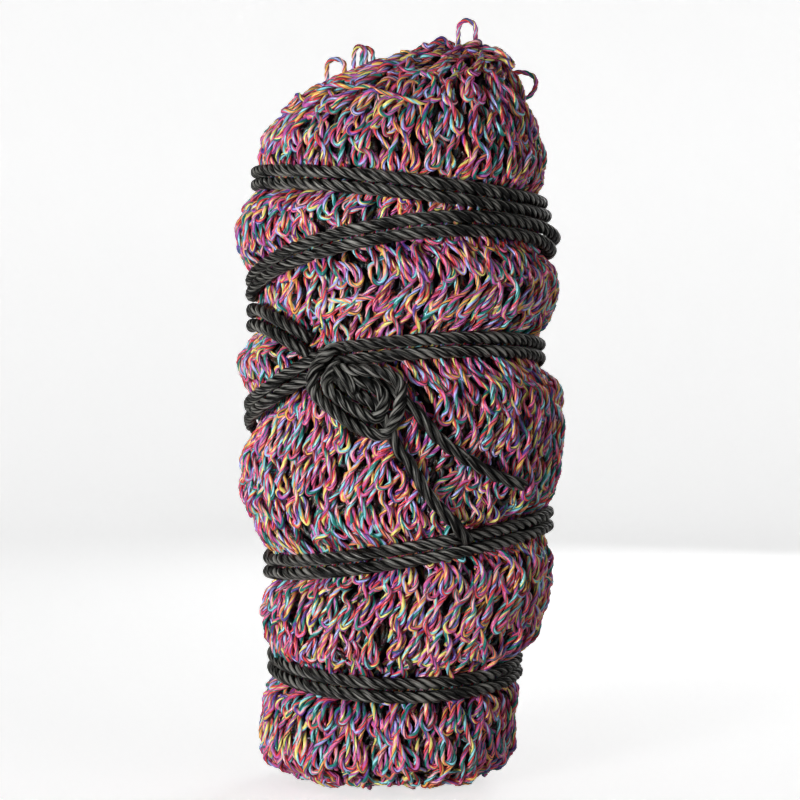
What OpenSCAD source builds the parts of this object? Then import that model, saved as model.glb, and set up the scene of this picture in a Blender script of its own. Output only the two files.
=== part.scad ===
// Hay net folded into an upright pack and bound with its own doubled draw rope.
// Millimetres. +Z is up, the front faces -Y, and the origin is on the floor under the pack.

/* [Pack] */
// Widest width of the folded net
pack_w = 154; // [150:1:158]
// Height of the folded net, without the mesh loops that stand up from its crown
pack_h = 357; // [352:1:362]
// Depth of the pack from front to back, as a share of its width
depth_share = 0.86; // [0.84:0.01:0.9]

/* [Outer folds] */
// Height of the base fold, where the outer folds start
base_h = 9.7; // [9:0.1:10]
// Height at which the outer folds end and the crown fold starts
crown_z = 316; // [314:1:318]
// Clearance between a wound rope and the strip that is drawn in under it
groove_gap = 1.1; // [0.8:0.1:1.2]
// Half the height of the drawn-in strip under a pair of ropes
groove_half = 8.6; // [8.4:0.1:9]
// Height over which a drawn-in strip swells out again
groove_ramp = 6; // [5:0.5:7]

/* [Inner folds] */
// Half the width of the hollow that holds the inner folds
hollow_a = 44; // [43:1:45]
// Half the depth of the hollow that holds the inner folds
hollow_b = 36; // [35:1:37]
// Thickness of one inner fold
fold_t = 21.6; // [20:0.1:21.8]

/* [Draw rope] */
// Diameter of the draw rope
rope_d = 6; // [5.8:0.1:6]
// How far a wound rope's centre line lies inside the pack's outline
rope_sink = 2; // [1.8:0.1:2.2]
// How far a loose rope's centre line lies outside the pack's outline
rope_lift = 3.6; // [3.5:0.1:4]
// The same for the last run on the back, which passes over two others
over_lift = 7; // [6.5:0.1:7.5]
// Radius of the coil that the knot makes, to the rope's centre line
knot_coil_r = 5.2; // [4.5:0.1:5.4]

/* [Mesh loops] */
// Diameter of the net's twine
twine_d = 2.6; // [2.4:0.1:2.8]

/* [Hidden] */

twine_colour = "palevioletred";
fold_colour = "mediumpurple";
rope_colour = [0.16, 0.16, 0.15];
seam_gap = 0.2;
level_gap = 0.3;
half_w = pack_w / 2;
rope_r = rope_d / 2;
twine_r = twine_d / 2;
lead_pitch = rope_d + 0.2;
half_steps = 36;
hollow_steps = 6;
ring_step = 5;
crown_levels = 9;
ring_fn = 96;
tube_fn = 32;
inner_low = 15;
inner_high = 306;
middle_fold_half = 38;
middle_fold_corner = 9;
side_fold_half = 25;
side_fold_corner = 10.5;
gather_ring_r = 12;
gather_ring_z = 12.3;
mouth_ring_r = 29;
mouth_ring_z = 311;

// The pack's outline from the front. Each row is a height, the middle's shift to the right and the
// half-width, as shares of the pack's height, half-width and half-width.
outline = [
    [0, -0.08, 0.60], [0.025, -0.07, 0.71], [0.055, -0.08, 0.80], [0.15, -0.04, 0.80],
    [0.24, 0.03, 0.89], [0.33, 0.04, 0.92], [0.405, 0, 0.99], [0.505, 0.01, 1],
    [0.6, -0.03, 0.95], [0.68, 0.01, 0.985], [0.75, -0.045, 0.98], [0.85, 0, 0.905],
    [0.91, 0.035, 0.78], [0.945, 0.07, 0.64], [0.975, 0.22, 0.38], [1, 0.4, 0.1]];

function row_below(t, i = 0) = i >= len(outline) - 2 || t < outline[i + 1][0] ? i : row_below(t, i + 1);
function curve_through(a, b, c, d, t) =
    b + t * ((c - a) / 2 + t * (a - 2.5 * b + 2 * c - d / 2 + t * (1.5 * (b - c) + (d - a) / 2)));
function outline_at(z, column) = let (
    share = z / pack_h,
    i = row_below(share),
    last = len(outline) - 1,
    t = (share - outline[i][0]) / (outline[i + 1][0] - outline[i][0]))
    curve_through(outline[max(i - 1, 0)][column], outline[i][column], outline[i + 1][column],
        outline[min(i + 2, last)][column], t);
function middle_x(z) = half_w * outline_at(z, 1);
function half_x(z) = half_w * outline_at(z, 2);
function half_y(z) = half_x(z) * depth_share;

// A point on the pack's outline at height z, moved out by lift, at x on the front or the back.
function surface_y(x, z, lift) = let (
    a = half_x(z) + lift,
    b = half_y(z) + lift,
    u = min(abs(x - middle_x(z)) / a, 1)) b * sqrt(1 - u * u);
function on_front(x, z, lift) = [x, -surface_y(x, z, lift), z];
function on_back(x, z, lift) = [x, surface_y(x, z, lift), z];
function on_left(z, lift) = [middle_x(z) - half_x(z) - lift, 0, z];
function on_right(z, lift) = [middle_x(z) + half_x(z) + lift, 0, z];

// Each wound run is an arc through three points: start, a point on the way and end.
knot_at = on_front(-35, 205.5, rope_sink + groove_gap);
lead_in = [on_back(20, 306, -rope_sink), on_back(-38, 301, -rope_sink), on_left(294, -rope_sink)];
front_1 = [on_left(294, -rope_sink), on_front(5, 283.5, -rope_sink), on_right(279, -rope_sink)];
front_2 = [on_left(240, -rope_sink), on_front(5, 265, -rope_sink), on_right(261.5, -rope_sink)];
tie_in = [on_left(226, -rope_sink), on_front(-60, 221.5, -rope_sink), on_front(-42, 211.5, -rope_sink)];
front_3_right = [on_right(210, -rope_sink), on_front(25, 211.5, -rope_sink), on_front(-29, 207, -rope_sink)];
front_3_left = [on_left(179, -rope_sink), on_front(-60, 190, -rope_sink), on_front(-41, 201.5, -rope_sink)];
front_4 = [on_left(106, -rope_sink), on_front(2, 115.5, -rope_sink), on_right(129, -rope_sink)];
front_5 = [on_left(60, -rope_sink), on_front(0, 52.5, -rope_sink), on_right(58, -rope_sink)];
back_1 = [front_1[2], on_back(0, 262, -rope_sink), front_2[0]];
back_2 = [front_2[2], on_back(0, 244, -rope_sink), tie_in[0]];
back_3 = [front_3_right[0], on_back(0, 158, -rope_sink), front_4[0]];
back_4 = [front_4[2], on_back(0, 95, -rope_sink), front_5[0]];
back_5 = [front_5[2], on_back(-8, 118, over_lift), front_3_left[0]];
front_runs = [front_1, front_2, tie_in, front_3_right, front_3_left, front_4, front_5];
back_runs = [lead_in, back_1, back_2, back_3, back_4, back_5];

function unit(v) = v / norm(v);
function arc_centre(run) = let (
    u = run[0] - run[2],
    v = run[1] - run[2],
    n = cross(u, v))
    run[2] + cross(u * u * v - v * v * u, n) / (2 * n * n);
// Height, at x and y, of the plane that a run lies in.
function run_height(run, x, y) = let (n = cross(run[1] - run[0], run[2] - run[0]))
    run[0].z - (n.x * (x - run[0].x) + n.y * (y - run[0].y)) / n.z;
function run_slope(run) = let (n = unit(cross(run[1] - run[0], run[2] - run[0]))) abs(n.z);
// Distance at which a run's arc passes the upright line through x = mid, in the level direction ahead.
function run_reach(run, mid, ahead) = let (
    centre = arc_centre(run),
    radius = norm(run[0] - centre),
    from = [mid, 0, run_height(run, mid, 0)],
    step = [mid + ahead.x, ahead.y, run_height(run, mid + ahead.x, ahead.y)] - from,
    off = from - centre,
    b = off * step,
    inside = b * b - step * step * (off * off - radius * radius)) (sqrt(max(inside, 0)) - b) / (step * step);
function near_run(run, x) = x > min(run[0].x, run[2].x) - groove_half
    && x < max(run[0].x, run[2].x) + groove_half;
function groove_share(run, p) = near_run(run, p.x)
    ? let (d = abs(p.z - run_height(run, p.x, p.y)) * run_slope(run))
        max(0, min(1, 1 - (d - groove_half) / groove_ramp))
    : 0;

// The outer surface at one angle and height, drawn in just under the ropes, and further under a steep run,
// which cuts a longer slot across each level ring.
function skin_point(angle, z, runs) = let (
    middle = [middle_x(z), 0, z],
    out = [half_x(z) * cos(angle), half_y(z) * sin(angle), 0],
    far = norm(out),
    drawn_in = max([for (run = runs) let (
        share = groove_share(run, middle + out),
        room = (rope_r + groove_gap) / pow(run_slope(run), 2))
        share > 0 ? share * max(0, far + room - run_reach(run, middle.x, out / far)) : 0]))
    middle + out * (1 - drawn_in / far);
function half_ring(first, z, runs, shift) = concat(
    [for (k = [0:half_steps]) skin_point(first + 180 * k / half_steps, z, runs) + [0, shift, 0]],
    [for (k = [hollow_steps:-1:0]) let (angle = first + 180 * k / hollow_steps)
        [hollow_a * cos(angle), hollow_b * sin(angle) + shift, z]]);
function whole_ring(z) = [for (k = [0:2 * half_steps - 1]) skin_point(180 * k / half_steps, z, back_runs)];

// Faces of a solid stretched over equal rings of points, each ring anticlockwise from its far side.
function side_faces(rings, points) = [for (k = [0:rings - 2], i = [0:points - 1]) let (j = (i + 1) % points)
    each [[k * points + i, (k + 1) * points + i, (k + 1) * points + j],
        [k * points + i, (k + 1) * points + j, k * points + j]]];
function reversed(list) = [for (i = [len(list) - 1:-1:0]) list[i]];
function all_points(rings) = [for (ring = rings) each ring];
module skin(rings) {
    points = len(rings[0]);
    cap = [for (i = [0:points - 1]) i];
    far_cap = [for (i = cap) i + (len(rings) - 1) * points];
    polyhedron(all_points(rings), concat([cap], side_faces(len(rings), points), [reversed(far_cap)]));
}
// The same for half rings, whose caps are strips between the outer edge and the edge of the hollow.
module half_skin(rings) {
    points = len(rings[0]);
    share = half_steps / hollow_steps;
    far = (len(rings) - 1) * points;
    caps = [for (k = [0:hollow_steps - 1])
        concat([for (i = [0:share]) k * share + i], [points - 2 - k, points - 1 - k])];
    polyhedron(all_points(rings), concat(caps, side_faces(len(rings), points),
        [for (cap = caps) [for (i = reversed(cap)) i + far]]));
}

// A smooth line through a list of points, with steps points on each stretch.
function path_point(p, i, t) = let (last = len(p) - 1)
    curve_through(i > 0 ? p[i - 1] : 2 * p[0] - p[1], p[i], p[i + 1],
        i + 2 <= last ? p[i + 2] : 2 * p[last] - p[last - 1], t);
function smooth_path(p, steps) = concat(
    [for (i = [0:len(p) - 2], k = [0:steps - 1]) path_point(p, i, k / steps)], [p[len(p) - 1]]);
function path_ring(q, i, r, side, sides) = let (
    ahead = unit(q[min(i + 1, len(q) - 1)] - q[max(i - 1, 0)]),
    across = unit(cross(side, ahead)),
    over = cross(ahead, across))
    [for (k = [0:sides - 1]) q[i] + r * (across * cos(360 * k / sides) + over * sin(360 * k / sides))];
// A rope or twine of radius r along a smooth line. No stretch of the line runs along side.
module strand(p, r, side, steps = 4, sides = 8) {
    q = smooth_path(p, steps);
    skin([for (i = [0:len(q) - 1]) path_ring(q, i, r, side, sides)]);
}

// One rope along the arc through three points.
module rope_arc(a, b, c) {
    centre = arc_centre([a, b, c]);
    radius = norm(a - centre);
    axis = unit(cross(b - a, c - b));
    first = unit(a - centre);
    second = cross(axis, first);
    turn = atan2((c - centre) * second, (c - centre) * first);
    multmatrix([[first.x, second.x, axis.x, centre.x], [first.y, second.y, axis.y, centre.y],
        [first.z, second.z, axis.z, centre.z], [0, 0, 0, 1]])
        rotate_extrude(angle = turn < 0 ? turn + 360 : turn, $fn = ring_fn)
            translate([radius, 0]) circle(r = rope_r, $fn = tube_fn);
}
// A run of the doubled rope: two ropes side by side.
module rope_pair(run) {
    shift = [0, 0, lead_pitch / 2 / run_slope(run)];
    color(rope_colour) rope_arc(run[0] + shift, run[1] + shift, run[2] + shift);
    color(rope_colour) rope_arc(run[0] - shift, run[1] - shift, run[2] - shift);
}

// Folds of the net
module fold_slab(half_width, corner) {
    translate([0, 0, inner_low]) linear_extrude(inner_high - inner_low) {
        square([2 * (half_width - corner), fold_t], center = true);
        square([2 * half_width, fold_t - 2 * corner], center = true);
        for (sx = [-1, 1], sy = [-1, 1])
            translate([sx * (half_width - corner), sy * (fold_t / 2 - corner)])
                circle(r = corner, $fn = tube_fn);
    }
}
module side_fold(side) {
    color(fold_colour) translate([0, side * (fold_t + level_gap), 0])
        fold_slab(side_fold_half, side_fold_corner);
}
module inner_fold_front() { side_fold(-1); }
module inner_fold_middle() { color(fold_colour) fold_slab(middle_fold_half, middle_fold_corner); }
module inner_fold_back() { side_fold(1); }
module outer_fold(first, runs, shift) {
    low = base_h + level_gap;
    levels = round((crown_z - low) / ring_step);
    color(twine_colour)
        half_skin([for (k = [0:levels]) half_ring(first, low + (crown_z - low) * k / levels, runs, shift)]);
}
module outer_fold_front() { outer_fold(180, front_runs, -seam_gap); }
module outer_fold_back() { outer_fold(0, back_runs, seam_gap); }
module crown_fold() {
    low = crown_z + level_gap;
    color(twine_colour)
        skin([for (k = [0:crown_levels]) whole_ring(low + (pack_h - low) * k / crown_levels)]);
}
module base_plate(half_width, half_depth, high) {
    linear_extrude(high) {
        square([2 * (half_width - half_depth), 2 * half_depth], center = true);
        for (s = [-1, 1]) translate([s * (half_width - half_depth), 0]) circle(r = half_depth, $fn = ring_fn);
    }
}
module base_fold() {
    lower = base_h * 0.4;
    color(twine_colour) translate([middle_x(0), 0, 0]) {
        base_plate(half_x(0), half_y(0), lower + 0.01);
        translate([0, 0, lower]) base_plate(half_x(base_h / 2), half_y(base_h / 2), base_h - lower);
    }
}
module end_gather_tie() {
    color(twine_colour) translate([0, 0, gather_ring_z]) rotate_extrude($fn = ring_fn)
        translate([gather_ring_r, 0]) circle(r = twine_r, $fn = tube_fn);
}

// Mesh loops that stand up from the crown, each from one foot, over its tip, to its other foot. The
// shoulders lie at a share of the tip's height, and bulge out past the feet.
shoulder_share = 0.6;
tip_share = 0.35;
module mesh_loop(feet, tip, bulge) {
    across = feet[1] - feet[0];
    up = shoulder_share * (tip - (feet[0] + feet[1]) / 2);
    wider = bulge * unit(across);
    half_tip = tip_share * across;
    color(twine_colour) strand([feet[0], feet[0] + up - wider, tip - half_tip, tip + half_tip,
        feet[1] + up + wider, feet[1]], twine_r, [0, 1, 0]);
}
module mesh_loop_left() { mesh_loop([[-34, 0, 343.4], [-27, 0, 346]], [-31.5, 0, 351.5], 0.3); }
module mesh_loop_double() { mesh_loop([[-21.5, 0, 347.6], [-14, 0, 349.4]], [-18, 0, 358], 0.3); }
module mesh_loop_peak() { mesh_loop([[29, 0, 358.9], [36, 0, 358.9]], [33, 0, 370.7], 0.6); }
module mesh_loop_right() { mesh_loop([[54, 0, 345], [58.3, 0, 333.8]], [65, 0, 340.3], 1); }

// Draw rope, wound part
module mouth_rope_ring() {
    color(rope_colour) translate([0, 0, mouth_ring_z]) rotate_extrude($fn = ring_fn)
        translate([mouth_ring_r, 0]) circle(r = rope_r, $fn = tube_fn);
}
module rope_lead_in() { rope_pair(lead_in); }
module turn_1_front() { rope_pair(front_1); }
module turn_1_back() { rope_pair(back_1); }
module turn_2_front() { rope_pair(front_2); }
module turn_2_back() { rope_pair(back_2); }
module turn_3_front_right() { rope_pair(front_3_right); }
module turn_3_front_left() { rope_pair(front_3_left); }
module turn_3_back() { rope_pair(back_3); }
module turn_4_front() { rope_pair(front_4); }
module turn_4_back() { rope_pair(back_4); }
module turn_5_front() { rope_pair(front_5); }
module turn_5_back() { rope_pair(back_5); }
module rope_tie_in() { rope_pair(tie_in); }

// Draw rope, tied part
module bow_knot() {
    turns = 1.9;
    steps = 16;
    along = unit(front_3_right[2] - front_3_left[2]);
    out = unit(cross(cross(along, [0, -1, 0]), along));
    over = cross(along, out);
    color(rope_colour) strand([for (k = [0:steps]) let (turn = 360 * turns * k / steps)
        knot_at + along * lead_pitch * turns * (k / steps - 0.5)
            + knot_coil_r * (out * cos(turn) + over * sin(turn))], rope_r, along, steps = 2);
}
function loose(x, z) = on_front(x, z, rope_lift);
module bow_loop_outer() {
    color(rope_colour) strand([loose(-24, 198.5), loose(-12, 200), loose(-1, 195), loose(0.5, 187),
        loose(-3, 176), loose(-8, 170.5), loose(-20, 174), loose(-36, 185)], rope_r, [0, 1, 0]);
}
module bow_loop_inner() {
    color(rope_colour) strand([loose(-22, 193), loose(-14, 192.5), loose(-8, 188.5), loose(-8, 182),
        loose(-11, 178), loose(-18, 181), loose(-28, 187.5)], rope_r, [0, 1, 0]);
}
module tail_long_root() {
    color(rope_colour) strand([loose(7, 181.5), loose(18, 168.5), loose(29.5, 159.8)], rope_r, [0, 1, 0]);
}
module tail_long_end() {
    color(rope_colour) strand([loose(32, 158.4), loose(45.5, 151), loose(58, 146.7)], rope_r, [0, 1, 0]);
}
module tail_short() {
    color(rope_colour) strand([loose(-0.5, 163.5), loose(4, 158), loose(13, 143), loose(26, 128.5)],
        rope_r, [0, 1, 0]);
}

inner_fold_front();
inner_fold_middle();
inner_fold_back();
outer_fold_front();
outer_fold_back();
crown_fold();
base_fold();
end_gather_tie();
mouth_rope_ring();
rope_lead_in();
turn_1_front();
turn_1_back();
turn_2_front();
turn_2_back();
turn_3_front_right();
turn_3_front_left();
turn_3_back();
turn_4_front();
turn_4_back();
turn_5_front();
turn_5_back();
rope_tie_in();
bow_knot();
bow_loop_outer();
bow_loop_inner();
tail_long_root();
tail_long_end();
tail_short();
mesh_loop_left();
mesh_loop_double();
mesh_loop_peak();
mesh_loop_right();
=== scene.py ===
"""Looks of a hay net that is folded into an upright pack and bound with its own doubled draw rope.

Metres, +Z up, the front faces -Y. The pack's surface, the rope's path and the loops are measured from the
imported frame, and the twine and the rope are laid over them as real strands.
"""

import math

import bpy
import numpy as np
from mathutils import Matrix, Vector
from mathutils.bvhtree import BVHTree


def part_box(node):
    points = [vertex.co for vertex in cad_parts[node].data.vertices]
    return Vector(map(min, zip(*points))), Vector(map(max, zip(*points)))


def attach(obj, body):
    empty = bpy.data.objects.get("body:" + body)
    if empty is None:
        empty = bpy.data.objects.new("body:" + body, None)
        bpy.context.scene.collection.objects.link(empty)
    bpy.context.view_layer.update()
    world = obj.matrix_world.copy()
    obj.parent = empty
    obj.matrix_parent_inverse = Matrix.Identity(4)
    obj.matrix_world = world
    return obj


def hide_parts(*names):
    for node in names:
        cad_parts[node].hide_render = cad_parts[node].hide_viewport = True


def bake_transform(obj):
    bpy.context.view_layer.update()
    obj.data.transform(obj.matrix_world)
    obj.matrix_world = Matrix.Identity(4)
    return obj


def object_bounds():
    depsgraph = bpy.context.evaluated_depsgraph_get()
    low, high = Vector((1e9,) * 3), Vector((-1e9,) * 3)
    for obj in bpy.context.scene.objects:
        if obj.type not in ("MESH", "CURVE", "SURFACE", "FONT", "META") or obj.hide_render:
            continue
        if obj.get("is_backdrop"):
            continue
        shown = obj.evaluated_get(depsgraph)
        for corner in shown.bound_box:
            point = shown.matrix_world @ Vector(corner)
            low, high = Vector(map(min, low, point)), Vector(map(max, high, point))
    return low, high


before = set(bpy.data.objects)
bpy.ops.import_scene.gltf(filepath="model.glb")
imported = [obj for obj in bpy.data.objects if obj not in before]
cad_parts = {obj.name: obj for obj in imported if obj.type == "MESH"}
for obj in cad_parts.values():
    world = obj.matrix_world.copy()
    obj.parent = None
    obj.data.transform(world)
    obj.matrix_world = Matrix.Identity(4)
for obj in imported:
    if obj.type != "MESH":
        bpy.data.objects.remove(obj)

CAD_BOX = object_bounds()
MM = 0.001
FULL_TURN = 2 * math.pi
random = np.random.RandomState(7)

# Twine of the net: its radius, the length of one turn of its yarns, and how deep its thin yarns sit
TWINE_R = 1.25 * MM
TWINE_TURN = 15 * MM
YARN_VALLEY = 0.8
DEEP_SIDES = 6
# Meshes: the distance between rows and between meshes in a row, and the lift of each layer off the surface
ROW_STEP = 18 * MM
COLUMN_STEP = 8.2 * MM
OUTER_LIFT = -1.7 * MM
INNER_LIFT = -5.6 * MM
CORE_DEPTH = 9 * MM
SHOULDER_LOOP_WIDTH, SHOULDER_LOOP_LIFT = 1.55, 2.2 * MM
PEAK_LOOP_WIDTH, PEAK_LOOP_LIFT = 1.2, 2.5 * MM
# How the meshes vary: their height and width, the usual lean, the share that is turned anyhow within a limit,
# and the scatter of their height on the pack, of their lift and of every point of their twine
MESH_HEIGHTS = (1.0, 1.32)
MESH_WIDTHS = (0.9, 1.25)
MESH_LEAN = math.radians(9)
WILD_SHARE, WILD_LEAN = 0.1, 1.2
ROW_SCATTER, LIFT_SCATTER, POINT_SCATTER = 2.2 * MM, 0.7 * MM, 0.45 * MM
# Closer to the pack's axis than this, a mesh isn't made any wider in angle
POLE_REACH = 6 * MM
PIECE_QUADS = 95_000

# Draw rope: its strands, and the length of one turn of them where it is tight and in the loose tails
STRANDS = 3
STRAND_R = 1.5 * MM
STRAND_OFFSET = 1.56 * MM
STRAND_SIDES = 12
ROPE_LAY = 16 * MM
TAIL_LAY = 27 * MM
LEAD_PHASE, LOOSE_PHASE = 2.1, 1.3
BRIDGE_LIFT = 2.6 * MM
# The rope stands off the pack at the right round one height, more and more beyond a distance across
SLACK = 5 * MM
SLACK_AT, SLACK_SPAN = 267 * MM, 11 * MM
SLACK_FROM, SLACK_GROWTH = 40 * MM, 30 * MM
# A cut end of rope narrows to this share of its size over this length
CUT_SHARE, CUT_LENGTH = 0.35, 2.5 * MM

# Grid over the pack's surface, and the levels and the height over which grooves are looked across
ANGLES = 144
LEVEL_STEP = 2 * MM
MERIDIAN_STEP = 1.5 * MM
FAR = 0.3
GROOVE_CLOSING = 2
GROOVE_SPAN = 14 * MM
# The crown's shoulders slope more than the CAD surface, so each is trimmed in a soft band:
# side (-1 left, 1 right), depth, height and half width of the band
SHOULDER_TRIMS = [(-1, 7 * MM, 338 * MM, 14 * MM), (1, 5 * MM, 356 * MM, 8 * MM)]
# The underside is rounded: its middle's height, and how far its edge rises below a height
BASE_LIFT = 2.6 * MM
BASE_RISE = 6 * MM
BASE_ROUND = 26 * MM
UNDER_SHARES = (0.02, 0.3, 0.55, 0.78, 0.93)
OVER_SHARES = (0.5, 0.02)

# Studio: glow that lights the pack, and extra white that only the camera sees
FLOOR_GLOW = 0.02
FLOOR_WHITE = 0.52
WORLD_GLOW = 0.01
WORLD_WHITE = 1.0
# Each light's place, size and power
LIGHTS = {
    "key": ((-0.85, -1.1, 0.08), 0.3, 20),
    "fill": ((1.1, -0.8, 0.25), 0.5, 1.6),
    "top": ((0.0, 0.3, 1.4), 0.8, 0.2),
    "rim": ((0.6, 1.1, 0.6), 0.6, 3.5),
}
CAMERA_AWAY = 0.9
CAMERA_LENS = 83

# Yarn colours of the net, as linear red, green and blue
YARN_COLOURS = {
    "coral": (0.76, 0.08, 0.09),
    "salmon": (0.80, 0.25, 0.13),
    "amber": (0.82, 0.42, 0.10),
    "yellow": (0.80, 0.70, 0.20),
    "rose": (0.74, 0.13, 0.28),
    "blush": (0.84, 0.42, 0.46),
    "magenta": (0.52, 0.12, 0.40),
    "purple": (0.13, 0.06, 0.34),
    "lavender": (0.42, 0.42, 0.82),
    "teal": (0.01, 0.21, 0.18),
    "aqua": (0.26, 0.64, 0.70),
    "crimson": (0.30, 0.02, 0.04),
    "plum": (0.05, 0.01, 0.05),
}
# Each twine has one wide yarn of each of the first four groups and one thin yarn of each of the others. The
# thin yarns lie in the valleys and draw mostly dark colours: partly the twine's own dark yarns, partly
# painted shade in the valleys
YARN_GROUPS = (
    ("coral", "coral", "salmon", "crimson"),
    ("rose", "magenta", "blush", "rose"),
    ("lavender", "aqua", "magenta", "purple"),
    ("yellow", "amber", "teal", "rose", "teal"),
    ("teal", "aqua", "teal"),
    ("yellow", "crimson", "magenta"),
    ("plum", "teal", "yellow"),
    ("purple", "teal", "plum"),
)
WIDE_YARNS = 4
# Share of its colour that a yarn of the inner layer keeps: painted shade for the depth under the outer twines
DEEP_SHADE = 0.07
# Sides of the twine's section, as wide yarns with a crest and thin yarns in the valleys between them
YARN_WIDTHS = (2, 1, 2, 1, 2, 1, 2, 1)
TWINE_SIDES = sum(YARN_WIDTHS)


def unit(v):
    """Vectors of length 1, safe where there is no length."""
    return v / np.maximum(np.linalg.norm(v, axis=-1, keepdims=True), 1e-12)


# ---------------------------------------------------------------- curves and tubes


def smooth_line(points, steps):
    """Catmull-Rom line through points [..., P, 3], with steps points on each stretch."""
    first = 2 * points[..., :1, :] - points[..., 1:2, :]
    last = 2 * points[..., -1:, :] - points[..., -2:-1, :]
    p = np.concatenate([first, points, last], axis=-2)
    t = np.linspace(0, 1, steps, endpoint=False)[:, None]
    stretches = []
    for i in range(points.shape[-2] - 1):
        a, b, c, d = (p[..., i + k : i + k + 1, :] for k in range(4))
        bend = 2 * a - 5 * b + 4 * c - d + t * (3 * (b - c) + d - a)
        stretches.append(b + t * ((c - a) + t * bend) / 2)
    return np.concatenate(stretches + [points[..., -1:, :]], axis=-2)


def carried_frames(lines):
    """Two directions across each point of lines [N, P, 3], carried along without twist."""
    ahead = unit(np.gradient(lines, axis=1))
    pick = np.where(np.abs(ahead[:, 0, 2:]) < 0.8, [[0.0, 0.0, 1.0]], [[1.0, 0.0, 0.0]])
    side = unit(np.cross(ahead[:, 0], pick))
    sides = [side]
    for k in range(1, lines.shape[1]):
        side = unit(side - np.sum(side * ahead[:, k], axis=1, keepdims=True) * ahead[:, k])
        sides.append(side)
    across = np.stack(sides, axis=1)
    return across, np.cross(ahead, across)


def lengths_along(lines):
    """The length walked to each point of lines [N, P, 3]."""
    steps = np.linalg.norm(np.diff(lines, axis=1), axis=2)
    return np.concatenate([np.zeros((len(lines), 1)), np.cumsum(steps, axis=1)], axis=1)


def tubes(lines, radius, profile, twist, start, slots):
    """Closed tubes along lines [N, P, 3]: profile [S] shapes the section, slots [N, S] colours its strips."""
    count, rings, _ = lines.shape
    sides = len(profile)
    across, over = carried_frames(lines)
    length = lengths_along(lines)
    angle = start[:, None, None] + twist * length[:, :, None] + FULL_TURN * np.arange(sides) / sides
    reach = (radius[..., None] * profile)[..., None]
    spots = lines[:, :, None, :] + reach * (
        np.cos(angle)[..., None] * across[:, :, None, :] + np.sin(angle)[..., None] * over[:, :, None, :]
    )
    lay = np.zeros((count, rings, sides, 3))
    lay[..., 0] = np.arange(sides) / sides
    lay[..., 1] = length[:, :, None]
    lay[..., 2] = np.arange(count)[:, None, None]
    index = np.arange(count * rings * sides).reshape(count, rings, sides)
    here, ahead = index[:, :-1], index[:, 1:]
    quads = np.stack([here, np.roll(here, -1, 2), np.roll(ahead, -1, 2), ahead], axis=-1).reshape(-1, 4)
    caps = np.concatenate([index[:, 0, ::-1], index[:, -1]])
    return {
        "spots": spots.reshape(-1, 3),
        "lay": lay.reshape(-1, 3),
        "quads": quads,
        "quad_slots": np.broadcast_to(slots[:, None, :], (count, rings - 1, sides)).ravel(),
        "caps": caps,
        "cap_slots": np.concatenate([slots[:, 0], slots[:, 0]]),
    }


def joined(parts):
    """Several tube sets as one. Their caps have the same number of sides."""
    shift = np.cumsum([0] + [len(part["spots"]) for part in parts[:-1]])
    result = {}
    for key in ("spots", "lay", "quad_slots", "cap_slots"):
        result[key] = np.concatenate([part[key] for part in parts])
    for key in ("quads", "caps"):
        result[key] = np.concatenate([part[key] + move for part, move in zip(parts, shift)])
    return result


def mesh_piece(name, part, materials):
    """A Blender object from a tube set, with its lay coordinates kept for the materials."""
    mesh = bpy.data.meshes.new(name)
    spots, quads, caps = part["spots"], part["quads"], part["caps"]
    mesh.vertices.add(len(spots))
    mesh.vertices.foreach_set("co", spots.astype(np.float32).ravel())
    corners = np.concatenate([quads.ravel(), caps.ravel()])
    mesh.loops.add(len(corners))
    mesh.loops.foreach_set("vertex_index", corners.astype(np.int32))
    quad_starts = 4 * np.arange(len(quads))
    cap_starts = 4 * len(quads) + (caps.shape[1] if len(caps) else 0) * np.arange(len(caps))
    starts = np.concatenate([quad_starts, cap_starts]).astype(np.int32)
    mesh.polygons.add(len(starts))
    mesh.polygons.foreach_set("loop_start", starts)
    slots = np.concatenate([part["quad_slots"], part["cap_slots"]]).astype(np.int32)
    for material in materials:
        mesh.materials.append(material)
    mesh.polygons.foreach_set("material_index", slots)
    mesh.polygons.foreach_set("use_smooth", np.ones(len(starts), bool))
    lay = mesh.attributes.new("lay", "FLOAT_VECTOR", "POINT")
    lay.data.foreach_set("vector", part["lay"].astype(np.float32).ravel())
    mesh.update(calc_edges=True)
    piece = bpy.data.objects.new(name, mesh)
    bpy.context.scene.collection.objects.link(piece)
    return piece


# ---------------------------------------------------------------- materials


def node_material(name):
    """A new material, its nodes and links, its shader and its output."""
    material = bpy.data.materials.new(name)
    material.use_nodes = True
    nodes = material.node_tree.nodes
    return material, nodes, material.node_tree.links, nodes["Principled BSDF"], nodes["Material Output"]


def fibre_height(nodes, links, across, along):
    """Fine fibres along a strand, from its lay coordinates: the share round it and the length along it."""
    lay = nodes.new("ShaderNodeAttribute")
    lay.attribute_name = "lay"
    stretch = nodes.new("ShaderNodeMapping")
    stretch.inputs["Scale"].default_value = (across, along, 0)
    links.new(lay.outputs["Vector"], stretch.inputs["Vector"])
    noise = nodes.new("ShaderNodeTexNoise")
    noise.inputs["Scale"].default_value = 1
    noise.inputs["Detail"].default_value = 3
    links.new(stretch.outputs["Vector"], noise.inputs["Vector"])
    return noise.outputs["Fac"], lay.outputs["Vector"]


def raise_surface(nodes, links, height, depth, output):
    """Relief of a given depth from a height pattern."""
    lift = nodes.new("ShaderNodeDisplacement")
    lift.inputs["Scale"].default_value = depth
    lift.inputs["Midlevel"].default_value = 0.5
    links.new(height, lift.inputs["Height"])
    links.new(lift.outputs["Displacement"], output.inputs["Displacement"])


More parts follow.
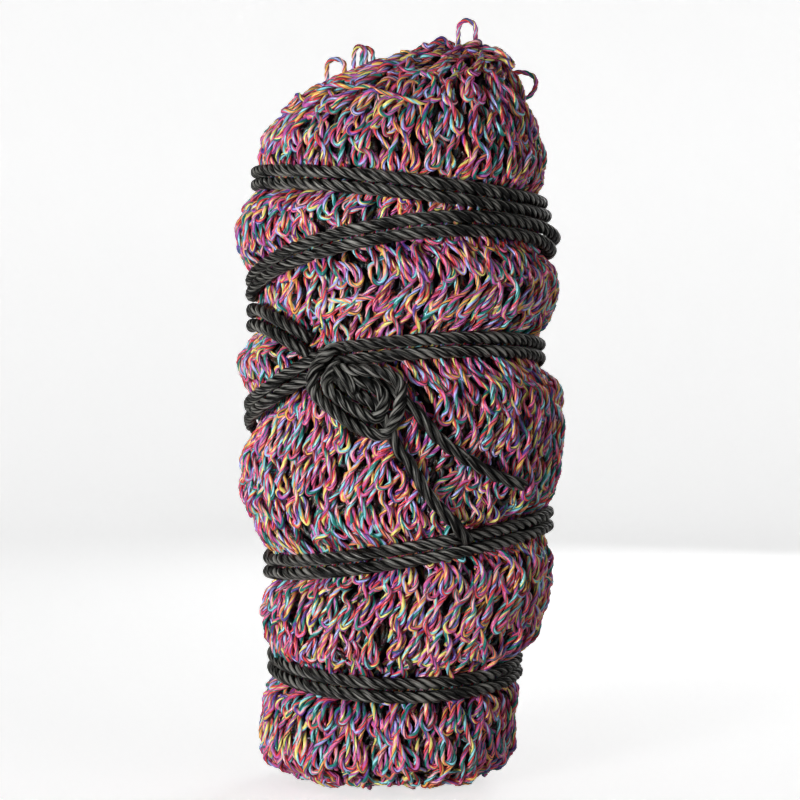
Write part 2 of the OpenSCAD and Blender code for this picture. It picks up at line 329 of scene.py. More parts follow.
def yarn_material(name, colour, shade=1.0):
    """Glossy filament yarn with fine fibres. A shade below 1 darkens its colour as painted shade, for yarns
    deep in the pack.
    """
    material, nodes, links, shader, output = node_material(name)
    shader.inputs["Base Color"].default_value = (*(shade * c for c in colour), 1)
    shader.inputs["Roughness"].default_value = 0.26
    shader.inputs["Specular IOR Level"].default_value = 0.8
    shader.inputs["Sheen Weight"].default_value = 0.1
    shader.inputs["Sheen Roughness"].default_value = 0.4
    fibres, _ = fibre_height(nodes, links, across=26, along=220)
    raise_surface(nodes, links, fibres, 0.25 * MM, output)
    return material


def rope_material():
    """Charcoal fibres along the crest of each strand, darkened to nearly black towards the seams as painted
    shade.
    """
    material, nodes, links, shader, output = node_material("rope_strand")
    fibres, lay = fibre_height(nodes, links, across=9, along=50)
    tones = nodes.new("ShaderNodeValToRGB")
    tones.color_ramp.elements[0].position = 0.46
    tones.color_ramp.elements[0].color = (0.004, 0.004, 0.0035, 1)
    tones.color_ramp.elements[1].position = 0.58
    tones.color_ramp.elements[1].color = (0.26, 0.255, 0.235, 1)
    links.new(fibres, tones.inputs["Fac"])
    # Painted shade: the colour fades from the fibres' tones on the crest to nearly black in the seams
    parts = nodes.new("ShaderNodeSeparateXYZ")
    links.new(lay, parts.inputs["Vector"])
    crest = nodes.new("ShaderNodeMapRange")
    crest.inputs["From Min"].default_value = 0.74
    crest.inputs["From Max"].default_value = 0.98
    crest.inputs["To Min"].default_value = 0.02
    crest.inputs["To Max"].default_value = 1
    links.new(parts.outputs["Z"], crest.inputs["Value"])
    shade = nodes.new("ShaderNodeMix")
    shade.data_type = "RGBA"
    shade.inputs["A"].default_value = (0.002, 0.002, 0.002, 1)
    links.new(crest.outputs["Result"], shade.inputs["Factor"])
    links.new(tones.outputs["Color"], shade.inputs["B"])
    links.new(shade.outputs["Result"], shader.inputs["Base Color"])
    shader.inputs["Roughness"].default_value = 0.38
    shader.inputs["Specular IOR Level"].default_value = 0.3
    raise_surface(nodes, links, fibres, 1.6 * MM, output)
    return material


def core_material():
    """The mesh deep inside the pack: twine colours in upright streaks, darkened nearly to black as painted
    shade.
    """
    material, nodes, links, shader, output = node_material("net_core")
    place = nodes.new("ShaderNodeTexCoord")
    stretch = nodes.new("ShaderNodeMapping")
    stretch.inputs["Scale"].default_value = (420, 420, 90)
    links.new(place.outputs["Object"], stretch.inputs["Vector"])
    noise = nodes.new("ShaderNodeTexNoise")
    noise.inputs["Scale"].default_value = 1
    noise.inputs["Detail"].default_value = 2
    links.new(stretch.outputs["Vector"], noise.inputs["Vector"])
    # Near-black tones: painted shade deep in the pack
    tones = nodes.new("ShaderNodeValToRGB")
    ramp = tones.color_ramp
    ramp.elements[0].position = 0.35
    ramp.elements[0].color = (0.004, 0.002, 0.004, 1)
    ramp.elements[1].position = 0.7
    ramp.elements[1].color = (0.05, 0.012, 0.03, 1)
    middle = ramp.elements.new(0.55)
    middle.color = (0.012, 0.01, 0.03, 1)
    links.new(noise.outputs["Fac"], tones.inputs["Fac"])
    links.new(tones.outputs["Color"], shader.inputs["Base Color"])
    shader.inputs["Roughness"].default_value = 0.8
    raise_surface(nodes, links, noise.outputs["Fac"], 1.5 * MM, output)
    return material


# ---------------------------------------------------------------- the pack's surface


def frame_tree(*names):
    """One ray-casting tree over CAD nodes."""
    spots, faces = [], []
    for name in names:
        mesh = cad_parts[name].data
        first = len(spots)
        spots += [v.co.copy() for v in mesh.vertices]
        faces += [[first + i for i in p.vertices] for p in mesh.polygons]
    return BVHTree.FromPolygons(spots, faces)


def widened(values, reach):
    """Moving maximum over the first axis, so that the net swells out close beside each rope."""
    rows = len(values)
    shifted = [values[np.clip(np.arange(rows) + k, 0, rows - 1)] for k in range(-reach, reach + 1)]
    return np.max(shifted, axis=0)


def smoothed(values, reach):
    """Moving mean over the first axis, with the ends held."""
    kernel = np.ones(2 * reach + 1) / (2 * reach + 1)
    padded = np.concatenate([values[:1].repeat(reach, 0), values, values[-1:].repeat(reach, 0)])
    return np.apply_along_axis(lambda row: np.convolve(row, kernel, "valid"), 0, padded)


def level_middles(tree, heights):
    """The middle of the pack's width at each height."""
    middles = []
    for z in heights:
        ends = [tree.ray_cast(Vector((s * FAR, MM, z)), Vector((-s, 0, 0)))[0].x for s in (-1, 1)]
        middles.append(sum(ends) / 2)
    return smoothed(np.array(middles), 3)


def level_reach(tree, heights, middles, level_ahead):
    """How far out the surface is at each height and angle, without grooves and with trimmed shoulders."""
    reach = np.zeros((len(heights), ANGLES))
    for row, (z, middle) in enumerate(zip(heights, middles)):
        for k, d in enumerate(level_ahead):
            start = Vector((middle + FAR * d[0], FAR * d[1], z))
            reach[row, k] = FAR - tree.ray_cast(start, Vector(-d))[3]
    reach = widened(reach, GROOVE_CLOSING)
    for side, depth, at, span in SHOULDER_TRIMS:
        sideward = np.clip(side * level_ahead[:, 0], 0, 1) ** 2
        reach -= depth * np.exp(-(((heights - at) / span) ** 2))[:, None] * sideward
    return reach


class Skin:
    """The net's outer surface over angle round the pack and distance along its meridians."""

    def __init__(self, tree, top):
        heights = np.arange(LEVEL_STEP / 2, top, LEVEL_STEP)
        angles = FULL_TURN * (np.arange(ANGLES) + 0.5) / ANGLES
        level_ahead = np.stack([np.cos(angles), np.sin(angles), 0 * angles], axis=1)
        middles = level_middles(tree, heights)
        reach = level_reach(tree, heights, middles, level_ahead)
        rounded = heights + BASE_RISE * np.clip(1 - heights / BASE_ROUND, 0, 1) ** 2
        centre = np.stack([middles, 0 * middles, rounded], axis=1)
        rings = centre[:, None, :] + reach[..., None] * level_ahead
        under = []
        for share in UNDER_SHARES:
            drop = (1 - share ** 2) * (rounded[0] - BASE_LIFT)
            under.append(centre[0] + share * (rings[0] - centre[0]) - [0, 0, drop])
        over = [centre[-1] + share * (rings[-1] - centre[-1]) + [0, 0, MM] for share in OVER_SHARES]
        lines = np.concatenate([under, rings, over]).transpose(1, 0, 2)
        length = lengths_along(lines)
        zero_row = len(under) + int(np.argmin(np.abs(heights - top / 2)))
        length -= length[:, zero_row : zero_row + 1]
        self.first, self.last = length[:, 0], length[:, -1]
        self.low = self.first.min()
        ticks = np.arange(self.low, self.last.max(), MERIDIAN_STEP)
        grid = np.zeros((ANGLES, len(ticks), 3))
        for k in range(ANGLES):
            for axis in range(3):
                grid[k, :, axis] = np.interp(ticks, length[k], lines[k, :, axis])
        self.grid = grid
        around = np.roll(grid, -1, 0) - np.roll(grid, 1, 0)
        self.spread = np.linalg.norm(around, axis=2) / (2 * FULL_TURN / ANGLES)
        upward = np.gradient(smoothed(grid.transpose(1, 0, 2), 2), axis=0).transpose(1, 0, 2)
        normals = np.cross(around, upward)
        flat = np.linalg.norm(normals, axis=2, keepdims=True) < 1e-10
        pole = np.where(ticks[None, :, None] < 0, [[[0.0, 0.0, -1.0]]], [[[0.0, 0.0, 1.0]]])
        self.normals = np.where(flat, pole, unit(normals))

    def mixed(self, values, angle, s):
        """Grid values between the grid's own points."""
        u = (angle / FULL_TURN * ANGLES - 0.5) % ANGLES
        v = np.clip((s - self.low) / MERIDIAN_STEP, 0, values.shape[1] - 1.001)
        i, j = u.astype(int) % ANGLES, v.astype(int)
        fu, fv = u - np.floor(u), v - j
        if values.ndim == 3:
            fu, fv = fu[..., None], fv[..., None]
        n = (i + 1) % ANGLES
        low = values[i, j] * (1 - fu) + values[n, j] * fu
        high = values[i, j + 1] * (1 - fu) + values[n, j + 1] * fu
        return low * (1 - fv) + high * fv

    def place(self, angle, s, lift):
        """Points lifted off the surface at an angle round the pack and a distance up its meridian."""
        normal = unit(self.mixed(self.normals, angle, s))
        return self.mixed(self.grid, angle, s) + normal * lift[..., None]

    def row_spots(self, s, step):
        """Angles spaced step apart along the row at s, where the surface reaches that far."""
        fine = FULL_TURN * np.arange(4 * ANGLES) / (4 * ANGLES)
        k = (fine / FULL_TURN * ANGLES - 0.5).astype(int) % ANGLES
        margin = 2 * MM
        inside = (s > self.first[k] + margin) & (s < self.last[k] - margin)
        gap = self.mixed(self.spread, fine, np.full(len(fine), s)) * (fine[1] - fine[0]) * inside
        walked = np.cumsum(gap)
        count = int(walked[-1] / step)
        marks = (np.arange(count) + random.uniform(0, 1)) * walked[-1] / max(count, 1)
        return np.interp(marks, walked, fine)


# ---------------------------------------------------------------- the net

# One mesh of the folded net, in mm: across, up and out from the bottom of its loop. The twine makes a
# loop and crosses itself, and a second strand comes over the crossing and dives behind the loop.
LOOP_STRAND = np.array([
    (1.6, 13.5, -3.4), (-1, 11, -1.2), (-2.7, 6.4, 0), (-2.5, 2.2, 0.4), (0, 0, 0.7), (2.5, 2.2, 0.4),
    (2.7, 6.4, 0), (0.6, 11, -0.2), (-1.9, 15, -0.2), (-3.9, 20, -1), (-4.2, 26, -4),
])
OVER_STRAND = np.array([
    (4.3, 26, -4), (4.1, 20, -1), (2, 15, 0.9), (0, 11, 1.8), (-0.4, 6, 1.1), (0, 2.4, -0.9), (0.5, -2, -2.4),
    (2, -7, -3.4),
])


def net_layer(skin, lift, sides, steps, row_shift):
    """Tube sets for one layer of meshes, row by row."""
    rows = []
    s = math.floor(skin.low / ROW_STEP) * ROW_STEP + row_shift * ROW_STEP
    while s < skin.last.max():
        angles = skin.row_spots(s, COLUMN_STEP)
        if len(angles):
            rows.append(net_row(skin, angles, s, lift, sides, steps))
        s += ROW_STEP
    return rows


def net_row(skin, angles, s, lift, sides, steps):
    """One row of meshes of varied size, lean and lift, a few of them turned far over."""
    count = len(angles)
    flip = np.where(random.uniform(size=count) < 0.5, -1, 1)
    size = random.uniform(*MESH_HEIGHTS, count)
    wide = random.uniform(*MESH_WIDTHS, count)
    turned = random.normal(0, MESH_LEAN, count)
    wild = random.uniform(size=count) < WILD_SHARE
    turned = np.where(wild, random.uniform(-WILD_LEAN, WILD_LEAN, count), turned)
    s_at = s + random.normal(0, ROW_SCATTER, count)
    out = lift + random.normal(0, LIFT_SCATTER, count)
    return net_meshes(skin, angles, s_at, (flip * wide, size), turned, out, sides, steps)


def net_meshes(skin, angles, s_at, stretch, turned, out, sides, steps):
    """Both strands of each mesh: where it is on the surface, its width and height, its lean and its lift."""
    count = len(angles)
    spread = skin.mixed(skin.spread, angles, s_at)
    parts = []
    for shape in (LOOP_STRAND, OVER_STRAND):
        marks = np.repeat(shape[None] * MM, count, axis=0)
        marks = marks + random.normal(0, POINT_SCATTER, marks.shape)
        x = marks[..., 0] * stretch[0][:, None]
        z = marks[..., 1] * stretch[1][:, None]
        local = np.stack([x, z, marks[..., 2]], axis=-1)
        lines = smooth_line(local, steps)
        c, t = np.cos(turned)[:, None], np.sin(turned)[:, None]
        across = lines[..., 0] * c - lines[..., 1] * t
        along = lines[..., 0] * t + lines[..., 1] * c
        safe_spread = np.maximum(spread, POLE_REACH)[:, None]
        angle_at = angles[:, None] + across / safe_spread
        world = skin.place(angle_at, s_at[:, None] + along, lines[..., 2] + out[:, None])
        parts.append(twine(world, sides))
    return joined(parts)


# Wide loops that lie slanting over the crown's left shoulder and ones that stand out round its peak: across
# and up, in mm, and the lean in degrees
SHOULDER_LOOPS = np.array([
    (-54, 322, -42), (-44, 322, -48), (-33, 320, -52), (-22, 318, -55), (-10, 317, -48),
])
PEAK_LOOPS = np.array([(12, 352, -75), (22, 356, -100), (36, 357, 70), (45, 353, 95), (52, 346, 60)])


def single_loops(skin, spots, width, lift):
    """Meshes at places of their own on the front of the surface."""
    angles, s_at = [], []
    for x, z, _ in spots:
        gap = np.hypot(skin.grid[..., 0] - x * MM, skin.grid[..., 2] - z * MM)
        k, j = np.unravel_index(np.argmin(np.where(skin.grid[..., 1] < 0, gap, FAR)), gap.shape)
        angles.append(FULL_TURN * (k + 0.5) / ANGLES)
        s_at.append(skin.low + j * MERIDIAN_STEP)
    ones = np.ones(len(spots))
    turned = np.radians(spots[:, 2])
    places = np.array(angles), np.array(s_at)
    return net_meshes(skin, *places, (width * ones, ones), turned, lift * ones, TWINE_SIDES, 5)


def yarn_picks(count, widths):
    """Each twine's yarns, wide and thin by turns and in an order of its own."""
    names = list(YARN_COLOURS)
    picks = [random.choice([names.index(name) for name in group], size=count) for group in YARN_GROUPS]
    wide = random.permutation(np.stack(picks[:WIDE_YARNS], axis=1).T).T
    thin = np.stack(picks[WIDE_YARNS:], axis=1)
    order = np.argsort(random.uniform(size=wide.shape), axis=1)
    both = np.stack([np.take_along_axis(wide, order, axis=1), thin], axis=2).reshape(count, -1)
    return both[:, : len(widths)]


def twine(lines, sides):
    """Laid twine along lines [N, P, 3]: each yarn is one strip of the section, in its own colour."""
    count = len(lines)
    widths = YARN_WIDTHS if sides == TWINE_SIDES else (1,) * sides
    profile = np.ones(sides)
    if sides == TWINE_SIDES:
        profile[np.cumsum((0,) + widths[:-1])] = YARN_VALLEY
    slots = np.repeat(yarn_picks(count, widths), widths, axis=1)
    radius = np.full(lines.shape[:2], TWINE_R)
    start = random.uniform(0, FULL_TURN, count)
    return tubes(lines, radius, profile, FULL_TURN / TWINE_TURN, start, slots)


def net_pieces(name, rows, materials):
    """Rows gathered into named pieces of a bounded size, from the bottom up."""
    group, quads, pieces = [], 0, []
    for row in rows + [None]:
        full = row is not None and quads + len(row["quads"]) > PIECE_QUADS
        if group and (row is None or full):
            piece = mesh_piece(f"{name}_{len(pieces) + 1:02d}", joined(group), materials)
            pieces.append(piece)
            group, quads = [], 0
        if row is not None:
            group.append(row)
            quads += len(row["quads"])
    for piece in pieces:
        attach(piece, "root")


def net_core(skin, depth):
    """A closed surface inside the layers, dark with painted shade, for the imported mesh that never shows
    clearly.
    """
    every = 4
    ticks = np.arange(0, skin.grid.shape[1], every)
    rings = (skin.grid - skin.normals * depth)[::2, ticks].transpose(1, 0, 2)
    keep = [0]
    for k in range(1, len(rings)):
        if np.abs(rings[k] - rings[keep[-1]]).max() > MM:
            keep.append(k)
    rings = rings[keep]
    count, sides = rings.shape[:2]
    index = np.arange(count * sides).reshape(count, sides)
    here, ahead = index[:-1], index[1:]
    quads = np.stack([here, np.roll(here, -1, 1), np.roll(ahead, -1, 1), ahead], axis=-1).reshape(-1, 4)
    part = {
        "spots": rings.reshape(-1, 3),
        "lay": np.zeros((count * sides, 3)),
        "quads": quads,
        "quad_slots": np.zeros(len(quads)),
        "caps": np.stack([index[0, ::-1], index[-1]]),
        "cap_slots": np.zeros(2),
    }
    piece = mesh_piece("net_core", part, [core_material()])
    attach(piece, "root")
    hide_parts("inner_fold_front", "inner_fold_middle", "inner_fold_back", "crown_fold",
                "outer_fold_front", "outer_fold_back", "base_fold", "end_gather_tie", "mouth_rope_ring")


# ---------------------------------------------------------------- the draw rope


def node_tubes(name):
    """The vertices of each separate tube in a CAD node, lowest tube first."""
    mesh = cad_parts[name].data
    spots = np.zeros(len(mesh.vertices) * 3)
    mesh.vertices.foreach_get("co", spots)
    spots = spots.reshape(-1, 3)
    keys = {}
    same = [keys.setdefault(tuple(key), i) for i, key in enumerate(np.round(spots / (0.01 * MM)).astype(int))]
    leader = list(range(len(spots)))

    def lead(i):
        while leader[i] != i:
            leader[i] = leader[leader[i]]
            i = leader[i]
        return i

    for i, j in enumerate(same):
        leader[lead(i)] = lead(j)
    for polygon in mesh.polygons:
        corners = list(polygon.vertices)
        for corner in corners[1:]:
            leader[lead(corner)] = lead(corners[0])
    groups = {}
    for i in range(len(spots)):
        groups.setdefault(lead(i), []).append(i)
    found = [spots[members] for members in groups.values()]
    return sorted(found, key=lambda tube: tube[:, 2].mean())


def arc_of(tube, step):
    """The centre line of a tube that follows an arc: a circle fitted to its vertices."""
    centre = tube.mean(0)
    _, _, axes = np.linalg.svd(tube - centre, full_matrices=False)
    flat = (tube - centre) @ axes.T
    design = np.column_stack([2 * flat[:, :2], np.ones(len(flat))])
    fit = np.linalg.lstsq(design, (flat[:, :2] ** 2).sum(1), rcond=None)[0]
    radius = math.sqrt(fit[2] + fit[0] ** 2 + fit[1] ** 2)
    around = flat[:, :2] - fit[:2]
    middle = math.atan2(*around.mean(0)[::-1])
    turn = np.arctan2(around[:, 1], around[:, 0]) - middle
    turn = (turn + math.pi) % FULL_TURN - math.pi
    count = max(int(radius * (turn.max() - turn.min()) / step), 2)
    angle = middle + np.linspace(turn.min(), turn.max(), count)
    circle = np.column_stack([fit[0] + radius * np.cos(angle), fit[1] + radius * np.sin(angle), 0 * angle])
    return circle @ axes + centre


def ends_apart(line, other):
    """How far a line's end is from the nearer end of another one."""
    return min(np.linalg.norm(line[-1] - other[0]), np.linalg.norm(line[-1] - other[-1]))


def chain_of(names, step, lead, closed):
    """One lead of the doubled rope through several runs, as a smooth line, and where each run ends on it."""
    lines = [arc_of(node_tubes(name)[lead], step) for name in names]
    if ends_apart(lines[0][::-1], lines[1]) < ends_apart(lines[0], lines[1]):
        lines[0] = lines[0][::-1]
    for k in range(1, len(lines)):
        end = lines[k - 1][-1]
        if np.linalg.norm(lines[k][0] - end) > np.linalg.norm(lines[k][-1] - end):
            lines[k] = lines[k][::-1]
    if closed:
        lines[-1] = np.concatenate([lines[-1], bridge(lines[-1], lines[0])])
    whole = np.concatenate([line if k == 0 else line[1:] for k, line in enumerate(lines)])
    ends = np.cumsum([len(lines[0]) - 1] + [len(line) - 1 for line in lines[1:]])
    reach = 6
    body = smoothed(whole, reach)
    body[:reach], body[-reach:] = whole[:reach], whole[-reach:]
    body[:, 0] += slack_at(body)
    return body, [0] + [int(e) for e in ends]


def slack_at(line):
    """How far the rope stands off the pack at each point of a line."""
    near = np.exp(-(((line[:, 2] - SLACK_AT) / SLACK_SPAN) ** 2))
    return SLACK * near * np.clip((line[:, 0] - SLACK_FROM) / SLACK_GROWTH, 0, 1)


def bridge(last, first):
    """The way over the knot, from the end of the last run to just past the start of the first one."""
    middle = (last[-1] + first[0]) / 2 + np.array([0, -BRIDGE_LIFT, 0])
    steps = 8
    path = smooth_line(np.array([last[-7], last[-1], middle, first[0], first[6]]), steps)
    return path[steps + 1 : 3 * steps + 3]


def rope_strands(line, phase, taper_start, taper_end, lay):
    """The three strands' centre lines round a rope's own centre line [P, 3], and the share of their size."""
    across, over = carried_frames(line[None])
    length = lengths_along(line[None])[0]
    strands = []
    for k in range(STRANDS):
        angle = (phase + FULL_TURN * (length / lay + k / STRANDS))[:, None]
        strands.append(line + STRAND_OFFSET * (np.cos(angle) * across[0] + np.sin(angle) * over[0]))
    share = np.ones(len(line))
    if taper_start:
        share = np.minimum(share, cut_end(length))
    if taper_end:
        share = np.minimum(share, cut_end(length[-1] - length))
    return np.stack(strands), share


def cut_end(length):
    """The share of a strand's size at a distance from its cut end."""
    return CUT_SHARE + (1 - CUT_SHARE) * np.clip(length / CUT_LENGTH, 0, 1) ** 0.5


def rope_part(line, phase=0.0, taper_start=False, taper_end=False, lay=ROPE_LAY):
    """Three twisted strands. Their third lay coordinate is 1 on the rope's outside and less in its seams,
    where the rope's material paints shade from it.
    """
    strands, share = rope_strands(line, phase, taper_start, taper_end, lay)
    radius = np.repeat(STRAND_R * share[None], STRANDS, axis=0)
    slots = np.zeros((STRANDS, STRAND_SIDES), int)
    part = tubes(strands, radius, np.ones(STRAND_SIDES), 0.0, np.zeros(STRANDS), slots)
    away = part["spots"].reshape(STRANDS, len(line), STRAND_SIDES, 3) - line[None, :, None, :]
    crest = np.linalg.norm(away, axis=3) / (STRAND_OFFSET + STRAND_R)
    part["lay"][:, 2] = crest.ravel()
    return part


def cut_tubes(part, first, last, rings, sides):
    """The stretch of a tube set between two rings, as a tube set of its own."""
    count = len(part["spots"]) // (rings * sides)

    def kept(values):
        return values.reshape(count, rings, sides, -1)[:, first : last + 1].reshape(-1, values.shape[-1])

    span = last - first + 1
    index = np.arange(count * span * sides).reshape(count, span, sides)
    here, ahead = index[:, :-1], index[:, 1:]
    quads = np.stack([here, np.roll(here, -1, 2), np.roll(ahead, -1, 2), ahead], axis=-1).reshape(-1, 4)
    return {
        "spots": kept(part["spots"]), "lay": kept(part["lay"]), "quads": quads,
        "quad_slots": np.zeros(len(quads)), "caps": np.concatenate([index[:, 0, ::-1], index[:, -1]]),
        "cap_slots": np.zeros(2 * count),
    }


def wound_rope(names, material, closed=False):
    """Each named run of the doubled rope as one piece, with its strands unbroken from run to run."""
    cuts = {name: [] for name in names}
    lines = []
    for lead in (0, 1):
        line, ends = chain_of(names, MM, lead, closed)
        lines.append(line)
        part = rope_part(line, phase=LEAD_PHASE * lead)
        for name, first, last in zip(names, ends, ends[1:]):
            cuts[name].append(cut_tubes(part, first, last, len(line), STRAND_SIDES))
    for name, parts in cuts.items():
        piece = mesh_piece("rope_" + name, joined(parts), [material])
        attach(piece, "root")
        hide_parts(name)
    return lines


# ---------------------------------------------------------------- the tied part of the rope


class Front:
    """The front of the pack without its grooves, as a place to lay loose rope on."""

    def __init__(self, names):
        self.tree = frame_tree(*names)

    def depth(self, x, z):
        """The foremost surface over a stretch of heights that is longer than a groove is wide."""
        hits = []
        for dz in np.linspace(-GROOVE_SPAN, GROOVE_SPAN, 9):
            hit = self.tree.ray_cast(Vector((x, -FAR, z + dz)), Vector((0, 1, 0)))[0]
            if hit is not None:
                hits.append(hit.y)
        return min(hits)

    def line(self, points, step=5):
        """Smooth line through points given as across, up and out from the surface, in mm."""
        marks = [(x * MM, self.depth(x * MM, z * MM) - out * MM, z * MM) for x, z, out in points]
        return smooth_line(np.array(marks), step)


def even_line(line, step):
    """The same line with its points one step apart."""
    length = lengths_along(line[None])[0]
    ticks = np.linspace(0, length[-1], max(int(length[-1] / step), 2))
    return np.stack([np.interp(ticks, length, line[:, axis]) for axis in range(3)], axis=1)


def loose_rope(name, lines, material, nodes, tapers=(False, False), lay=ROPE_LAY):
    """Single rope along each line, as one piece."""
    parts = []
    for k, line in enumerate(lines):
        parts.append(rope_part(even_line(line, MM), LOOSE_PHASE * k, *tapers, lay=lay))
    piece = mesh_piece(name, joined(parts), [material])
    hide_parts(*nodes)
    return piece


def bend_over(piece):
    """The piece's placement, baked into its mesh."""
    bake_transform(piece)


def bow(front, upper_lead, material):
    """The bow's doubled loop, which grows out of the upper lead of the run that ends at the knot."""
    outer = front.line([
        (-31, 209.5, 4.5), (-36, 204.5, 7.5), (-39.5, 197.5, 7), (-39.5, 191, 4.5), (-34, 184.5, 4),
        (-20, 174.5, 4), (-8, 170.5, 4), (-3, 176, 4.5), (0.5, 187, 4.5), (-1, 195, 4.5), (-11, 199.5, 4.5),
        (-22, 199.5, 3), (-31, 201, -2),
    ])
    outer = np.concatenate([upper_lead[8:2:-2], outer])
    inner = front.line([
        (-28, 203, -2), (-32, 198, 2), (-33, 192, 4.5), (-27, 186.5, 4), (-18, 180.5, 4), (-11, 178, 4),
        (-7.5, 183, 4.5), (-8, 189, 4.5), (-14, 193.5, 4), (-22, 195, 2.5), (-31, 199, -2),
    ])
    nodes = ["bow_loop_outer", "bow_loop_inner", "bow_knot"]
    loops = loose_rope("bow_loops", [outer, inner], material, nodes)
    bend_over(loops)


def long_tail(front, material):
    """The long tail as two pieces of one rope."""
    long_root = front.line([
        (-14, 196, 0), (-4, 190, 1.5), (7, 181.5, 3.6), (18, 168.5, 3.6), (29.5, 159.8, 3.6),
    ])
    long_end = front.line([(29.5, 159.8, 3.6), (45.5, 151, 3.6), (58, 146.7, 3.6)])
    whole = even_line(np.concatenate([long_root, long_end[1:]]), MM)
    part = rope_part(whole, 0.4, False, True, TAIL_LAY)
    cut = int(np.argmin(np.linalg.norm(whole - long_root[-1], axis=1)))
    spans = {"tail_long_root": (0, cut), "tail_long_end": (cut, len(whole) - 1)}
    for node, (first, last) in spans.items():
        stretch = cut_tubes(part, first, last, len(whole), STRAND_SIDES)
        piece = mesh_piece("rope_" + node, stretch, [material])
        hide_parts(node)
        if node == "tail_long_root":
            bend_over(piece)
        else:
            bend_over(piece)


def held_ends(front, material):
    """The tuck and the stub at the knot, and the short tail, which is held at both ends."""
    tuck = front.line([(-33, 201, -1), (-25, 193, 0.5), (-17, 187.5, 1.5), (-11, 184, 1.5), (-6, 178, 0)])
    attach(loose_rope("rope_tuck", [tuck], material, [], (True, True)), "root")
    stub = front.line([(-31, 200, 0), (-27, 198, 3.5), (-22.5, 194, 4.8), (-19.5, 189.5, 4.5)])
    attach(loose_rope("rope_stub", [stub], material, [], (True, True), TAIL_LAY), "root")

    short = front.line([(-10, 184, 1), (-5, 174, 3), (-0.5, 163.5, 3.6), (4, 158, 3.6), (13, 143, 3.6),
                        (24, 131, 3), (31, 122, -1.5)])
    tail = loose_rope("rope_tail_short", [short], material, ["tail_short"], lay=TAIL_LAY)
    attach(tail, "root")


def crown_loop(node, loops, material):
    """Loops of twine out of the crown: across and up as shares of their CAD node's box, and depth in mm."""
    low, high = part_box(node)
    parts = []
    for shares in loops:
        marks = [(low.x + x * (high.x - low.x), y * MM, low.z + z * (high.z - low.z)) for x, y, z in shares]
        line = even_line(smooth_line(np.array(marks), 6), 0.8 * MM)
        parts.append(twine(line[None], TWINE_SIDES))
    piece = mesh_piece("twine_" + node, joined(parts), material)
    bend_over(piece)
    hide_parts(node)


def upright_loop(left, right, top, y):
    """A narrow loop from the crown: its sides and top as shares of the CAD node's box, and its depth."""
    middle = (left + right) / 2
    return [
        (left - 0.1, y + 2.5, -1.0), (left, y + 0.6, -0.3), (left, y, 0.3 * top),
        (left + 0.05, y - 0.4, 0.8 * top), (middle, y - 0.5, top), (right, y - 0.3, 0.78 * top),
        (right, y, 0.2 * top), (right - 0.05, y + 0.6, -0.4), (middle, y + 2.5, -1.1),
    ]


# The loop that stands out sideways at the right, given in the same way
RIGHT_LOOP = [(-0.7, 2, 0.9), (0.0, 0.5, 0.88), (0.45, 0, 0.9), (0.84, -0.6, 0.74), (0.87, -0.8, 0.42),
              (0.6, -0.4, 0.12), (0.1, 0.4, 0.12), (-0.5, 2, 0.25)]


# ---------------------------------------------------------------- stage


def camera_glow(nodes, links, socket, base, extra):
    """A strength that is base for every ray, and extra more for what the camera sees."""
    path = nodes.new("ShaderNodeLightPath")
    strength = nodes.new("ShaderNodeMath")
    strength.operation = "MULTIPLY_ADD"
    strength.inputs[1].default_value = extra
    strength.inputs[2].default_value = base
    links.new(path.outputs["Is Camera Ray"], strength.inputs[0])
    links.new(strength.outputs["Value"], socket)


def stage():
    """A pale floor that sweeps up into a round wall, so that every view has the same plain ground."""
    floor_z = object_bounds()[0].z - 0.2 * MM
    flat, bend, height, sides = 1.7, 0.6, 3.5, 96
    profile = [(0.01, 0.0), (flat, 0.0)]
    for angle in np.linspace(0, math.pi / 2, 16)[1:]:
        profile.append((flat + bend * math.sin(angle), bend * (1 - math.cos(angle))))
    profile.append((flat + bend, height))
    turns = np.linspace(0, FULL_TURN, sides, endpoint=False)
    spots = [(r * math.cos(t), r * math.sin(t), floor_z + z) for r, z in profile for t in turns]
    faces = [tuple(range(sides))]
    for k in range(len(profile) - 1):
        for i in range(sides):
            n = (i + 1) % sides
            faces.append((k * sides + i, (k + 1) * sides + i, (k + 1) * sides + n, k * sides + n))
    mesh = bpy.data.meshes.new("floor")
    mesh.from_pydata(spots, [], faces)
    for polygon in mesh.polygons:
        polygon.use_smooth = len(polygon.vertices) == 4
    floor = bpy.data.objects.new("floor", mesh)
    bpy.context.scene.collection.objects.link(floor)
    material, nodes, links, shader, _ = node_material("floor")
    shader.inputs["Base Color"].default_value = (0.86, 0.86, 0.86, 1)
    shader.inputs["Roughness"].default_value = 0.9
    shader.inputs["Emission Color"].default_value = (1, 1, 1, 1)
    camera_glow(nodes, links, shader.inputs["Emission Strength"], FLOOR_GLOW, FLOOR_WHITE)
    mesh.materials.append(material)
    floor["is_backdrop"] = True


def area_light(name, place, target, size, power):
    """A square light that faces the target."""
    data = bpy.data.lights.new(name, "AREA")
    data.size = size
    data.energy = power
    lamp = bpy.data.objects.new(name, data)
    lamp.location = place
    lamp.rotation_mode = "QUATERNION"
    lamp.rotation_quaternion = (Vector(target) - Vector(place)).to_track_quat("-Z", "Y")
    bpy.context.scene.collection.objects.link(lamp)


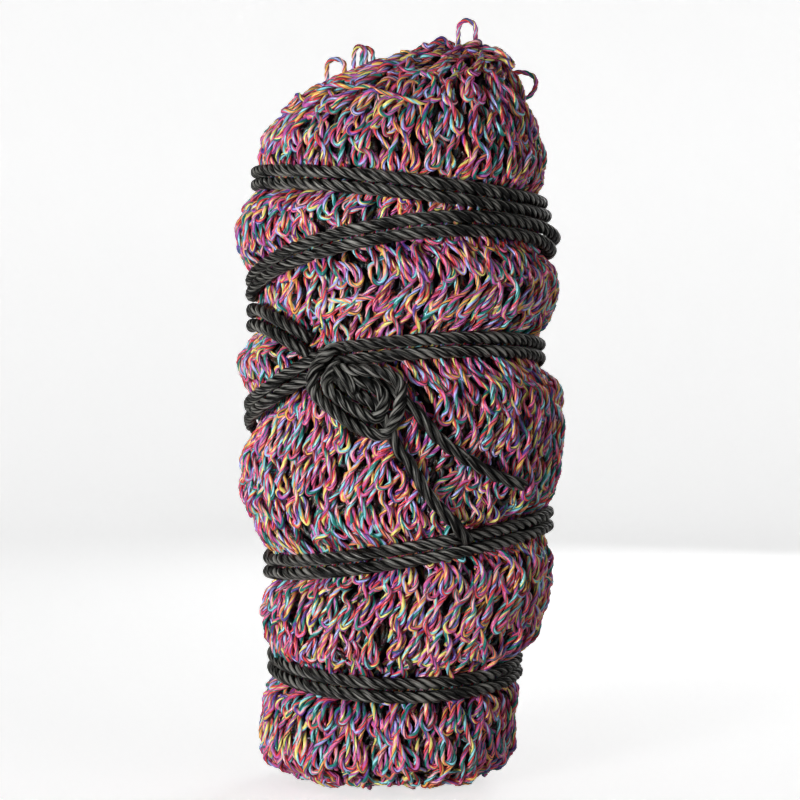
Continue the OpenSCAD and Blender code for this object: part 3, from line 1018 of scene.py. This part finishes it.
def lights_and_camera():
    """Soft studio lights, a white surround, and the camera level with the pack's middle, as in the photo."""
    middle = (CAD_BOX[0] + CAD_BOX[1]) / 2
    for name, (place, size, power) in LIGHTS.items():
        area_light(name, place, (0, 0, middle.z), size, power)
    world = bpy.data.worlds.new("studio")
    world.use_nodes = True
    nodes, links = world.node_tree.nodes, world.node_tree.links
    nodes["Background"].inputs["Color"].default_value = (1, 1, 1, 1)
    camera_glow(nodes, links, nodes["Background"].inputs["Strength"], WORLD_GLOW, WORLD_WHITE)
    bpy.context.scene.world = world
    data = bpy.data.cameras.new("camera")
    data.lens = CAMERA_LENS
    data.sensor_width = 36
    data.clip_start, data.clip_end = 0.05, 20
    camera = bpy.data.objects.new("camera", data)
    camera.location = (0, -CAMERA_AWAY, middle.z)
    camera.rotation_euler = (math.pi / 2, 0, 0)
    bpy.context.scene.collection.objects.link(camera)
    bpy.context.scene.camera = camera
    bpy.context.scene.view_settings.view_transform = "Standard"
    bpy.context.scene.view_settings.look = "Medium High Contrast"


# ---------------------------------------------------------------- build

top_of_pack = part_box("crown_fold")[1].z
skin = Skin(frame_tree("outer_fold_front", "outer_fold_back", "crown_fold", "base_fold"), top_of_pack)
yarns = [yarn_material("yarn_" + name, colour) for name, colour in YARN_COLOURS.items()]
# The inner layer's yarns are darkened copies of the same colours: painted shade
shaded_inner_yarns = [yarn_material("painted_shade_" + name, colour, DEEP_SHADE) for name, colour in YARN_COLOURS.items()]
outer_rows = net_layer(skin, OUTER_LIFT, TWINE_SIDES, steps=4, row_shift=0.0)
outer_rows.append(single_loops(skin, SHOULDER_LOOPS, SHOULDER_LOOP_WIDTH, SHOULDER_LOOP_LIFT))
outer_rows.append(single_loops(skin, PEAK_LOOPS, PEAK_LOOP_WIDTH, PEAK_LOOP_LIFT))
net_pieces("net_outer", outer_rows, yarns)
inner_rows = net_layer(skin, INNER_LIFT, DEEP_SIDES, steps=3, row_shift=0.5)
net_pieces("net_inner", inner_rows, shaded_inner_yarns)
net_core(skin, CORE_DEPTH)

rope = rope_material()
UPPER_RUNS = ["rope_lead_in", "turn_1_front", "turn_1_back", "turn_2_front", "turn_2_back", "rope_tie_in"]
LOWER_RUNS = ["turn_3_front_right", "turn_3_back", "turn_4_front", "turn_4_back", "turn_5_front",
              "turn_5_back", "turn_3_front_left"]
wound_rope(UPPER_RUNS, rope)
leads = wound_rope(LOWER_RUNS, rope, closed=True)

front = Front(["outer_fold_front"])
bow(front, leads[1], rope)
long_tail(front, rope)
held_ends(front, rope)

crown_loop("mesh_loop_left", [upright_loop(0.05, 0.85, 0.9, 0)], yarns)
double_loops = [upright_loop(0.06, 0.6, 0.9, -0.8), upright_loop(0.42, 0.92, 0.86, 1.4)]
crown_loop("mesh_loop_double", double_loops, yarns)
crown_loop("mesh_loop_peak", [upright_loop(0.1, 0.86, 0.92, 0)], yarns)
crown_loop("mesh_loop_right", [RIGHT_LOOP], yarns)

stage()
lights_and_camera()
